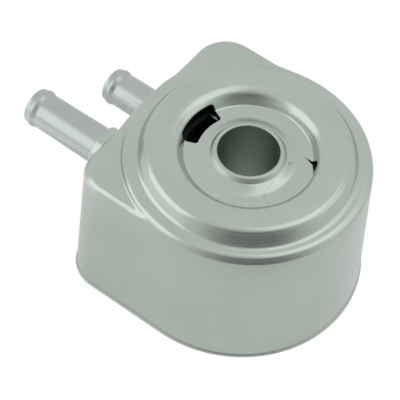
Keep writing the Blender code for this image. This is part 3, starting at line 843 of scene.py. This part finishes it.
def build_cover(material):
    """Pressed plate under the recess floor: open at the outlet, raised into the blind port."""
    facets = full_circle(COVER_FACETS)
    rim, hub = circle_points(COVER_RADIUS, facets), circle_points(HUB_RADIUS, facets)
    panel = panel_outline()
    panel_rings = [panel] + [outset(panel, -inset) for inset in PANEL_ROWS]
    radii = np.concatenate((np.arange(13.4, 26.5, 0.45), np.arange(27.5, 35.8, 2.2)))
    grid = polar_points(radii, full_circle(2 * COVER_FACETS), [OUTLET], 0.3)
    grid = grid[(polygon_distance(grid, BLIND_PORT) > 0.3) & (polygon_distance(grid, panel) > 0.5)]
    openings = []
    for part in (OUTLET[OUTLET[:, 1] > WEB_SIDES[1]], OUTLET[OUTLET[:, 1] < WEB_SIDES[0]]):
        start = int(np.argmax(np.linalg.norm(part - np.roll(part, 1, axis=0), axis=1)))
        openings.append(counter_clockwise(np.roll(part, -start, axis=0)))
    loops = [rim, hub] + openings + panel_rings
    flat, triangles, _ = fill_patch(loops, grid, clear_of(openings + [hub]))
    shell = Shell()
    top = level_row(flat, cover_height(flat, panel))
    shell.patch(top, triangles)
    shell.patch(top - (0, 0, COVER_SHEET), triangles, flip=True)
    for loop in [rim] + openings + [hub]:
        high = level_row(loop, cover_height(loop, panel))
        shell.grid([high, high - (0, 0, COVER_SHEET)], flip=loop is rim)
    finish_piece(shell.mesh("core_cover_pressed"), material, ["core_cover"])


# Node graphs

class Term:
    """A node's output that can stand first in arithmetic."""

    def __init__(self, graph, socket):
        self.graph, self.socket = graph, socket

    def math(self, operation, *others):
        terms = dict(enumerate((self, *others)))
        return self.graph.node("ShaderNodeMath", terms, operation=operation).out(0)

    def __add__(self, other):
        return self.math("ADD", other)

    def __sub__(self, other):
        return self.math("SUBTRACT", other)

    def __mul__(self, other):
        return self.math("MULTIPLY", other)

    def __truediv__(self, other):
        return self.math("DIVIDE", other)

    def between(self, low, high):
        """Rises smoothly from 0 at low to 1 at high."""
        return self.graph.node("ShaderNodeMapRange", {"Value": self, "From Min": low, "From Max": high},
                               interpolation_type="SMOOTHSTEP").out("Result")


class Node:
    def __init__(self, graph, made):
        self.graph, self.made = graph, made

    def out(self, name):
        return Term(self.graph, find_socket(self.made.outputs, name))


def find_socket(sockets, name):
    """A socket by its place, its identifier or its name."""
    if isinstance(name, int):
        return sockets[name]
    for socket in sockets:
        if socket.identifier == name:
            return socket
    return sockets[name]


class Graph:
    """Adds nodes to one tree."""

    def __init__(self, tree):
        self.tree = tree

    def node(self, kind, sockets=None, **settings):
        made = self.tree.nodes.new(kind)
        for name, value in settings.items():
            setattr(made, name, value)
        for name, value in (sockets or {}).items():
            socket = find_socket(made.inputs, name)
            if isinstance(value, Term):
                self.tree.links.new(value.socket, socket)
            else:
                socket.default_value = value
        return Node(self, made)

    def vector(self, x=0.0, y=0.0, z=0.0):
        return self.node("ShaderNodeCombineXYZ", {0: x, 1: y, 2: z}).out("Vector")

    def glow(self, strength):
        made = self.node("ShaderNodeEmission", {"Color": (1, 1, 1, 1), "Strength": strength})
        return made.out("Emission")

    def mix(self, share, first, second):
        return self.node("ShaderNodeMixShader", {0: share, 1: first, 2: second}).out("Shader")


# Materials

CLOUD_SCALE, GRAIN_SCALE, STREAK_SCALE, RUBBER_SCALE = 55, 1500, 900, 1800
STREAK_STRETCH = (1, 1, 0.03)


def start_material(name):
    material = bpy.data.materials.new(name)
    material.use_nodes = True
    material.node_tree.nodes.clear()
    return material, Graph(material.node_tree)


def noise(graph, place, scale, detail, stretch=None):
    if stretch:
        place = graph.node("ShaderNodeMapping", {"Vector": place, "Scale": stretch}).out("Vector")
    return graph.node("ShaderNodeTexNoise", {"Vector": place, "Scale": scale, "Detail": detail}).out("Fac")


def surface(graph, share, dull, bright, roughness, metallic, height, bump_strength, bump_distance):
    """A Principled surface with two colours mixed by a share, and a bump given in millimetres."""
    colours = {"Factor_Float": share, "A_Color": (*dull, 1), "B_Color": (*bright, 1)}
    colour = graph.node("ShaderNodeMix", colours, data_type="RGBA").out("Result_Color")
    bump = graph.node("ShaderNodeBump", {
        "Strength": bump_strength, "Distance": bump_distance * MM, "Height": height}).out("Normal")
    shader = graph.node("ShaderNodeBsdfPrincipled", {
        "Base Color": colour, "Roughness": roughness, "Metallic": metallic, "Normal": bump})
    graph.node("ShaderNodeOutputMaterial", {"Surface": shader.out("BSDF")})


def satin_aluminium(name, dull, bright, roughness, streaks=0.0, grain_height=0.04):
    """Rolled or drawn aluminium after brazing: cloudy, finely grained, a little streaked."""
    material, graph = start_material(name)
    place = graph.node("ShaderNodeTexCoord").out("Object")
    cloud = noise(graph, place, CLOUD_SCALE, 3)
    grain = noise(graph, place, GRAIN_SCALE, 2)
    streak = noise(graph, place, STREAK_SCALE, 2, STREAK_STRETCH)
    mixture = (cloud * 0.7 + grain * 0.2 + streak * (0.1 + streaks)).between(0.3, 0.9 + streaks * 0.5)
    rough = (grain - 0.5) * 0.10 + (cloud - 0.5) * 0.08 + (streak - 0.5) * streaks * 0.3 + roughness
    surface(graph, mixture, dull, bright, rough, 1.0, grain * 0.6 + streak * streaks, 0.35, grain_height)
    return material


def seal_rubber():
    material, graph = start_material("seal_rubber")
    grain = noise(graph, graph.node("ShaderNodeTexCoord").out("Object"), RUBBER_SCALE, 3)
    dull, bright = (0.012, 0.012, 0.013), (0.035, 0.035, 0.037)
    surface(graph, grain, dull, bright, grain * 0.2 + 0.5, 0.0, grain, 0.4, 0.02)
    return material


# Geometry Nodes

FLOAT, COUNT, METAL = "NodeSocketFloat", "NodeSocketInt", "NodeSocketMaterial"


def geometry_tree(name, sizes, counts):
    """A tree with named sizes, counts and a material; returns it with its graph and its inputs."""
    tree = bpy.data.node_groups.new(name, "GeometryNodeTree")
    tree.interface.new_socket("Geometry", in_out="OUTPUT", socket_type="NodeSocketGeometry")
    inputs = {**dict.fromkeys(sizes, FLOAT), **dict.fromkeys(counts, COUNT), "Material": METAL}
    for label, kind in inputs.items():
        tree.interface.new_socket(label, in_out="INPUT", socket_type=kind)
    graph = Graph(tree)
    entry = graph.node("NodeGroupInput")
    return tree, graph, {label: entry.out(label) for label in inputs}


def run_tree(tree, name, values, material, nodes):
    """Runs a tree with its inputs set by identifier, sizes in millimetres, and keeps the plain mesh."""
    holder = place_object(name + "_holder", bpy.data.meshes.new(name + "_holder"))
    modifier = holder.modifiers.new(name, "NODES")
    modifier.node_group = tree
    values = {**values, "Material": material}
    for item in tree.interface.items_tree:
        if item.in_out == "INPUT":
            value = values[item.name]
            modifier[item.identifier] = value * MM if item.socket_type == FLOAT else value
    mesh = evaluated_mesh(holder, name)
    holder.modifiers.clear()
    bpy.data.objects.remove(holder, do_unlink=True)
    weld(mesh)
    finish_piece(mesh, material, nodes)


def unit_grid(graph, rows, columns):
    """A flat grid, with the share of the way along it and the turn round the axis at each point."""
    grid = graph.node("GeometryNodeMeshGrid", {
        "Size X": 1.0, "Size Y": 1.0, "Vertices X": rows, "Vertices Y": columns})
    place = graph.node("GeometryNodeInputPosition").out("Position")
    split = graph.node("ShaderNodeSeparateXYZ", {0: place})
    return grid.out("Mesh"), split.out("X") + 0.5, (split.out("Y") + 0.5) * (2 * pi)


def move_points(graph, mesh, x, y, z):
    return graph.node("GeometryNodeSetPosition", {
        "Geometry": mesh, "Position": graph.vector(x, y, z)}).out("Geometry")


def turned_sheet(graph, rows, facets, radius_at, place_at):
    """A grid rolled round the X axis; both shapes are given by the share along it."""
    mesh, share, turn = unit_grid(graph, rows, facets)
    radius = radius_at(share)
    across, up = radius * turn.math("COSINE"), radius * turn.math("SINE")
    return move_points(graph, mesh, place_at(share), across, up)


def close_tree(graph, parts, material, offset):
    """Joins and welds the parts, moves them into place and ends the tree."""
    joined = graph.tree.nodes.new("GeometryNodeJoinGeometry")
    for part in parts:
        graph.tree.links.new(part.socket, joined.inputs[0])
    whole = Term(graph, joined.outputs[0])
    for kind, sockets in (("MergeByDistance", {"Distance": WELD}), ("Transform", {"Translation": offset}),
                          ("RealizeInstances", {}), ("SetMaterial", {"Material": material})):
        whole = graph.node("GeometryNode" + kind, {"Geometry": whole, **sockets}).out("Geometry")
    graph.node("NodeGroupOutput", {0: whole})


def stub_tree():
    """Hose stub: tapered tube, hose bead, rolled end and bore."""
    tree, graph, given = geometry_tree("hose_stub", (
        "Root", "Taper Start", "Tip", "Root Radius", "Tip Radius", "Wall", "Bead Height", "Bead Place",
        "Bead Half Length", "Side", "Height"), ("Facets",))
    root, root_radius, tip_radius = given["Root"], given["Root Radius"], given["Tip Radius"]
    half_wall = given["Wall"] * 0.5
    end = given["Tip"] + half_wall
    middle, bore = tip_radius - half_wall, tip_radius - given["Wall"]

    def along(share):
        return root + (end - root) * share

    def outside(share):
        place = along(share)
        taper = (place - given["Taper Start"]) / (given["Tip"] - given["Taper Start"])
        taper = taper.math("MAXIMUM", 0.0).math("MINIMUM", 1.0)
        away = (place - given["Bead Place"]) / given["Bead Half Length"]
        away = away.math("ABSOLUTE").math("MINIMUM", 1.0)
        swell = (away * pi).math("COSINE") * 0.5 + 0.5
        return root_radius + (tip_radius - root_radius) * taper + swell * given["Bead Height"]

    sections = (
        (150, outside, along),
        (13, lambda share: middle + half_wall * (share * pi).math("COSINE"),
         lambda share: end - half_wall * (share * pi).math("SINE")),
        (12, lambda share: bore + share * 0.0, lambda share: end + (root - end) * share),
        (3, lambda share: bore + (root_radius - bore) * share, lambda share: root + share * 0.0))
    parts = [turned_sheet(graph, rows, given["Facets"], radius_at, place_at)
             for rows, radius_at, place_at in sections]
    offset = graph.vector(BORE_AXIS * MM, given["Side"], given["Height"])
    close_tree(graph, parts, given["Material"], offset)
    return tree


def ring_tree():
    """A ring of oval section round the X direction, or round Z when upright is 1."""
    tree, graph, given = geometry_tree(
        "ring", ("Radius", "Half Width", "Half Depth", "X", "Y", "Z"), ("Facets", "Section", "Upright"))
    ring = turned_sheet(
        graph, given["Section"], given["Facets"],
        lambda share: given["Radius"] + given["Half Width"] * (share * 2 * pi).math("COSINE"),
        lambda share: given["Half Depth"] * (share * 2 * pi).math("SINE"))
    tilt = graph.vector(y=given["Upright"] * (-pi / 2))
    ring = graph.node("GeometryNodeTransform", {"Geometry": ring, "Rotation": tilt}).out("Geometry")
    close_tree(graph, [ring], given["Material"], graph.vector(given["X"], given["Y"], given["Z"]))
    return tree


def insert_tree():
    """Wavy insert of an oil cell: one thin strip folded up and down round the bore."""
    tree, graph, given = geometry_tree("wavy_insert", (
        "Inner Radius", "Outer Radius", "Low", "High", "Sheet"), ("Waves", "Steps Per Wave"))
    mesh, share, turn = unit_grid(graph, 3, given["Waves"] * given["Steps Per Wave"] + 1.0)
    radius = given["Inner Radius"] + (given["Outer Radius"] - given["Inner Radius"]) * share
    wave = (turn * given["Waves"]).math("COSINE") * 1.6
    wave = wave.math("MAXIMUM", -1.0).math("MINIMUM", 1.0) * 0.5 + 0.5
    height = given["Low"] + (given["High"] - given["Sheet"] - given["Low"]) * wave
    strip = move_points(graph, mesh, radius * turn.math("COSINE"), radius * turn.math("SINE"), height)
    strip = graph.node("GeometryNodeMergeByDistance", {"Geometry": strip, "Distance": WELD}).out("Geometry")
    raised = graph.node("GeometryNodeExtrudeMesh", {
        "Mesh": strip, "Offset": graph.vector(z=given["Sheet"]), "Offset Scale": 1.0, "Individual": False},
        mode="FACES").out("Mesh")
    under = graph.node("GeometryNodeFlipFaces", {"Mesh": strip}).out("Mesh")
    close_tree(graph, [raised, under], given["Material"], graph.vector(BORE_AXIS * MM))
    return tree


# Pieces

can_metal = satin_aluminium("can_satin", (0.47, 0.53, 0.485), (0.525, 0.585, 0.54), 0.23, streaks=0.1)
base_metal = satin_aluminium("base_satin", (0.46, 0.50, 0.46), (0.52, 0.56, 0.52), 0.34)
tube_metal = satin_aluminium("tube_satin", (0.46, 0.50, 0.475), (0.51, 0.55, 0.525), 0.30,
                             grain_height=0.012)
sleeve_metal = satin_aluminium("sleeve_satin", (0.45, 0.515, 0.455), (0.51, 0.575, 0.52), 0.40)
# Nearly black metal for the core pieces: painted shade, standing for the dark inside of the can seen
# through the ports, not a colour of the metal
painted_shade_core_metal = satin_aluminium("core_painted_shade", (0.030, 0.032, 0.030), (0.045, 0.047, 0.045), 0.60)
fin_metal = satin_aluminium("fin_matt", (0.40, 0.43, 0.41), (0.48, 0.51, 0.49), 0.5)
rubber = seal_rubber()

build_housing(can_metal)
build_base(base_metal)
build_sleeve(sleeve_metal)
build_cover(can_metal)

stubs, rings, inserts = stub_tree(), ring_tree(), insert_tree()
STUB_SIZES = {"Tip": STUB_TIP, "Root Radius": 7.3, "Tip Radius": 7.0, "Wall": 1.2, "Bead Height": 0.65,
              "Bead Place": STUB_TIP + BEAD_SETBACK, "Bead Half Length": 2.5, "Facets": 97}
BRAZE_SIZES = {"Radius": 7.5, "Half Width": 0.35, "Half Depth": 0.3, "Facets": 97, "Section": 17,
               "Upright": 0}
SEAL_SIZES = {"Radius": 33.0, "Half Width": 2.05, "Half Depth": 1.25, "Facets": 145, "Section": 25,
              "Upright": 1, "X": BORE_AXIS, "Y": 0.0, "Z": 1.4}
INSERT_SIZES = {"Inner Radius": 26.0, "Outer Radius": 39.0, "Waves": 60, "Sheet": 0.3, "Steps Per Wave": 8}
INSERT_LOW, INSERT_HIGH = 1.1, 3.5

for name, (side, height) in STUBS.items():
    neck_end = flat_side(height) - NECK_LENGTH
    run_tree(stubs, name + "_tube", {
        **STUB_SIZES, "Root": flat_side(height) + CAN_SHEET + STUB_ROOT_DEPTH, "Taper Start": neck_end,
        "Side": side, "Height": height}, tube_metal, [name])
    run_tree(rings, name + "_braze", {
        **BRAZE_SIZES, "X": BORE_AXIS + neck_end + BRAZE_SETBACK, "Y": side, "Z": height},
        tube_metal, [])
run_tree(rings, "base_seal_ring", SEAL_SIZES, rubber, ["base_seal"])
for number in range(1, CELL_COUNT + 1):
    bottom = CELLS_START + (number - 1) * CELL_PITCH
    run_tree(inserts, f"cell_{number}_waves", {
        **INSERT_SIZES, "Low": bottom + INSERT_LOW, "High": bottom + INSERT_HIGH},
        fin_metal, [f"cell_{number}_insert"])

# The CAD pieces still shown, deep inside the can, get the nearly black painted-shade metal
for node in frame["nodes"].values():
    if not node.hide_render:
        node.data.materials.clear()
        node.data.materials.append(painted_shade_core_metal)


# Studio, with directions in degrees; it is in metres, apart from the lying cards

MIDDLE = Vector((0.012, 0, 0.05))
LAMP_DISTANCE, CARD_DISTANCE = 0.75, 0.4
LAMP_COLOUR = (0.94, 0.975, 1.0)
SKY_LEVEL, MIRRORED_SKY = 0.55, 0.83
FLOOR_SEEN, FLOOR_MIRRORED, FLOOR_GLOW, PAPER = 0.93, 0.5, 1.05, 0.9
FLOOR_HALF_SIZE, FLOOR_LEVEL = 3.0, -0.1 * MM
CARD_COLUMNS, CARD_ROWS = 61, 47
CARD_BOTTOM, CARD_TOP, CARD_TOP_FADE = -8, 84, 72
THINNING_SOFTNESS = 9
SLIT_SHARE, SLIT_ELEVATION, SLIT_WIDTH = 0.3, 19, 4
LYING_FADE, LYING_REACH, LYING_LEVEL = 40, 420, 0.3
CAMERA_PLACE = Vector((205.608 + BORE_AXIS, -345.477, 579.131)) * MM
CAMERA_AZIMUTH, CAMERA_ELEVATION, CAMERA_ROLL = -56.952, 53.7528, 5.0395
SENSOR_WIDTH, LENS = 36.0, 162.0


def sky_spot(azimuth, elevation, distance):
    """A place seen from the middle of the object in a given direction."""
    a, e = radians(azimuth), radians(elevation)
    return Vector((cos(e) * cos(a), cos(e) * sin(a), sin(e))) * distance + MIDDLE


def rotation(angle, axis):
    return Matrix.Rotation(radians(angle), 4, axis)


def softbox(name, azimuth, elevation, size, roll, radiance):
    """A rectangular lamp that faces the object, with its brightness given as it is seen."""
    data = bpy.data.lights.new(name, "AREA")
    data.shape, data.size, data.size_y = "RECTANGLE", size[0], size[1]
    data.energy = radiance * size[0] * size[1] * pi
    data.color = LAMP_COLOUR
    place = sky_spot(azimuth, elevation, LAMP_DISTANCE)
    turn = (MIDDLE - place).to_track_quat("-Z", "Y").to_matrix().to_4x4()
    lamp = place_object(name, data)
    lamp.matrix_world = Matrix.Translation(place) @ turn @ rotation(roll, "Z")


def light_paths(graph):
    """Whether a ray is the camera's own, and whether it comes by way of metal or glass."""
    path = graph.node("ShaderNodeLightPath")
    mirrored = path.out("Is Glossy Ray").math("MAXIMUM", path.out("Is Transmission Ray"))
    return path.out("Is Camera Ray"), mirrored


def build_world():
    """Plain white surroundings, a little softer as light than as seen in the metal."""
    world = bpy.data.worlds.new("studio")
    bpy.context.scene.world = world
    world.use_nodes = True
    world.node_tree.nodes.clear()
    graph = Graph(world.node_tree)
    seen, mirrored = light_paths(graph)
    strength = seen * (1 - SKY_LEVEL) + mirrored * (MIRRORED_SKY - SKY_LEVEL) + SKY_LEVEL
    background = graph.node("ShaderNodeBackground", {"Color": (1, 1, 1, 1), "Strength": strength})
    graph.node("ShaderNodeOutputWorld", {"Surface": background.out("Background")})


def studio_sheet(name, points, faces, material):
    """A thin mesh for the studio round the object."""
    mesh = bpy.data.meshes.new(name)
    mesh.from_pydata(points, [], faces)
    mesh.materials.append(material)
    return place_object(name, mesh)


def build_floor():
    """White paper that shows as white, with a faint shadow on it, and clear from below."""
    material, graph = start_material("floor_paper")
    seen, mirrored = light_paths(graph)
    paper = graph.node("ShaderNodeBsdfDiffuse", {"Color": (PAPER, PAPER, PAPER, 1)}).out("BSDF")
    above = graph.mix(seen * FLOOR_SEEN + mirrored * FLOOR_MIRRORED, paper, graph.glow(FLOOR_GLOW))
    below = graph.node("ShaderNodeNewGeometry").out("Backfacing")
    clear = graph.node("ShaderNodeBsdfTransparent").out("BSDF")
    graph.node("ShaderNodeOutputMaterial", {"Surface": graph.mix(below, above, clear)})
    corners = [(x * FLOOR_HALF_SIZE, y * FLOOR_HALF_SIZE, FLOOR_LEVEL)
               for x, y in ((-1, -1), (1, -1), (1, 1), (-1, 1))]
    floor = studio_sheet("floor", corners, [(0, 1, 2, 3)], material)


def card(name, rows, row_fades, level, soft_from):
    """A grey card seen only in the metal, fading out from its middle column to its sides."""
    columns = len(rows[0])
    points = [tuple(point) for row in rows for point in row]
    faces = [(r * columns + c, r * columns + c + 1, (r + 1) * columns + c + 1, (r + 1) * columns + c)
             for r in range(len(rows) - 1) for c in range(columns - 1)]
    material, graph = start_material(name)
    fade = graph.node("ShaderNodeAttribute", attribute_name="fade").out("Fac")
    clear = graph.node("ShaderNodeBsdfTransparent").out("BSDF")
    graph.node("ShaderNodeOutputMaterial", {"Surface": graph.mix(fade, clear, graph.glow(level))})
    piece = studio_sheet(name, points, faces, material)
    column_fades = 1 - smooth_step(soft_from, 1, np.abs(np.linspace(-1, 1, columns)))
    layer = piece.data.attributes.new("fade", "FLOAT", "POINT")
    layer.data.foreach_set("value", np.outer(row_fades, column_fades).ravel())
    piece.visible_camera = piece.visible_diffuse = piece.visible_shadow = False


def standing_card(name, from_azimuth, to_azimuth, level, soft_from, thin_above, thin_share):
    """A card bent round the object from the floor upwards, thinner above an elevation."""
    azimuths = np.linspace(from_azimuth, to_azimuth, CARD_COLUMNS)
    elevations = np.linspace(CARD_BOTTOM, CARD_TOP, CARD_ROWS)
    rows = [[sky_spot(a, e, CARD_DISTANCE) for a in azimuths] for e in elevations]
    low, high = thin_above - THINNING_SOFTNESS, thin_above + THINNING_SOFTNESS
    fades = 1 - thin_share * smooth_step(low, high, elevations)
    fades *= 1 - SLIT_SHARE * np.exp(-((elevations - SLIT_ELEVATION) / SLIT_WIDTH) ** 2)
    fades *= 1 - smooth_step(CARD_TOP_FADE, CARD_TOP, elevations)
    card(name, rows, fades, level, soft_from)


def lying_card(name, from_azimuth, to_azimuth, start, level, soft_from):
    """A card just above the floor, fading in from a distance to the bore axis, in millimetres."""
    azimuths = np.radians(np.linspace(from_azimuth, to_azimuth, CARD_COLUMNS))
    faded_in = start + LYING_FADE
    radii = np.concatenate((np.linspace(start, faded_in, 12), np.linspace(faded_in + 20, LYING_REACH, 6)))
    rows = [[Vector((BORE_AXIS + r * cos(a), r * sin(a), LYING_LEVEL)) * MM for a in azimuths]
            for r in radii]
    card(name, rows, smooth_step(start, faded_in, radii), level, soft_from)


def build_camera():
    """The camera, which stands in a given direction from what it looks at and is a little rolled."""
    data = bpy.data.cameras.new("camera")
    data.sensor_width, data.lens = SENSOR_WIDTH, LENS
    data.clip_start, data.clip_end = 0.01, 20.0
    camera = place_object("camera", data)
    turn = rotation(CAMERA_AZIMUTH + 90, "Z") @ rotation(90 - CAMERA_ELEVATION, "X")
    camera.matrix_world = Matrix.Translation(CAMERA_PLACE) @ turn @ rotation(CAMERA_ROLL, "Z")
    bpy.context.scene.camera = camera


build_world()
build_floor()
build_camera()
softbox("side_softbox", 223, 26, (0.68, 0.72), 12, 0.62)
softbox("top_softbox", 45, 68, (0.60, 0.40), 0, 0.42)
softbox("rim_strip", 35, 38, (0.40, 0.60), 0, 0.26)
standing_card("dark_flag", 254, 374, 0.23, 0.2, 54, 0.72)
lying_card("dark_sheet", 254, 374, 85, 0.26, 0.1)
lying_card("white_sheet", 185, 248, 90, 1.15, 0.4)
bpy.context.scene.view_settings.view_transform = "Standard"
